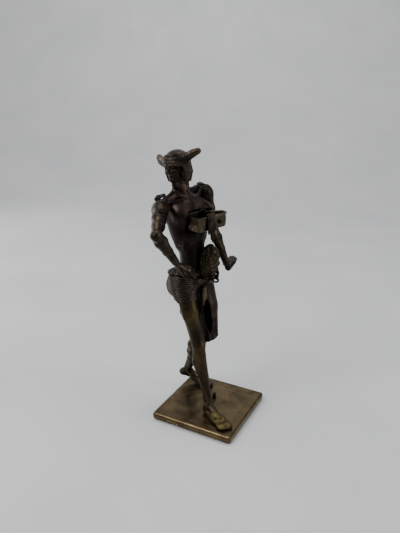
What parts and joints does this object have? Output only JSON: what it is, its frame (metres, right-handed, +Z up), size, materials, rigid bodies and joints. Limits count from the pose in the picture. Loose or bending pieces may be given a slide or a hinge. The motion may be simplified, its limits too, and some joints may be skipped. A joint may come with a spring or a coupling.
{
  "type": "bronze statuette",
  "caption": "Striding horned-cap figure in patinated metal on a square plate, with a sliding tray in its chest and draped ornaments.",
  "frame": {"origin": "centre of the felt pad's underside, where the plate stands", "axes": "+Z up; the plate's edges run along X and Y; the figure strides roughly along +X"},
  "size_m": [0.1017, 0.1271, 0.266],
  "materials": {
    "felt": "matte felt",
    "plate_bronze": "patinated bronze, worn bright at the edges",
    "figure_bronze": "dark brown patina, satin",
    "dark_bronze": "near-black brown patina",
    "tray_bronze": "dark brown patina",
    "horn_bronze": "rubbed bronze",
    "shell_bronze": "dark patina, rubbed ribs",
    "steel": "zinc plated",
    "pin_brass": "bare"
  },
  "bodies": {
    "figure": {"felt_pad": "felt", "base_plate": "plate_bronze", "foot_screws": "steel", "screw_washers": "steel", "plate_peg": "dark_bronze", "hip_pins": "pin_brass", "waist_pin": "pin_brass", "neck_pin": "pin_brass", "shoulder_pins": "pin_brass", "right_leg": "figure_bronze", "left_leg": "figure_bronze", "hips": "figure_bronze", "torso": "figure_bronze", "head": "figure_bronze", "horned_cap": "dark_bronze", "right_horn": "horn_bronze", "left_horn": "horn_bronze", "right_arm": "figure_bronze", "left_arm": "figure_bronze", "hip_wrap": "dark_bronze", "girdle": "dark_bronze", "belly_shell": "shell_bronze", "shell_ring": "shell_bronze", "front_tassel": "horn_bronze", "thigh_sash": "dark_bronze"},
    "tray": {"chest_tray": "tray_bronze", "tray_knob": "dark_bronze", "tray_cloth": "dark_bronze"}
  },
  "joints": [
    {"name": "tray_slide", "type": "slide", "parent": "figure", "child": "tray", "axis": [0.9613, -0.2756, 0], "range_m": [-0.006, 0]}
  ]
}
